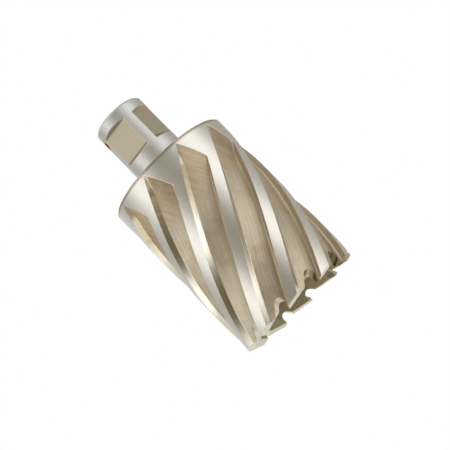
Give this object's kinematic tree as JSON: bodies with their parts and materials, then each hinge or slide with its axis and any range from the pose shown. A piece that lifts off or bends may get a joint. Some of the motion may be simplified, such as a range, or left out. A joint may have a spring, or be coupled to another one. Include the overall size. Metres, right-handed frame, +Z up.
{
  "type": "annular cutter",
  "caption": "Hollow fluted drill for steel plate: a toothed ring on a straight shank with clamping flats, cutting a ring-shaped groove round a solid slug.",
  "frame": {"origin": "on the tool's axis, in the plane that the tooth tips touch, where the cutter meets the plate", "axes": "+Z up the axis from the teeth to the shank's end, -Y out of the first clamping flat, +X out of the second"},
  "size_m": [0.046, 0.046, 0.088],
  "materials": {
    "ground_steel": "ground high-speed steel"
  },
  "bodies": {
    "root": {"annular_cutter": "ground_steel"}
  },
  "joints": []
}
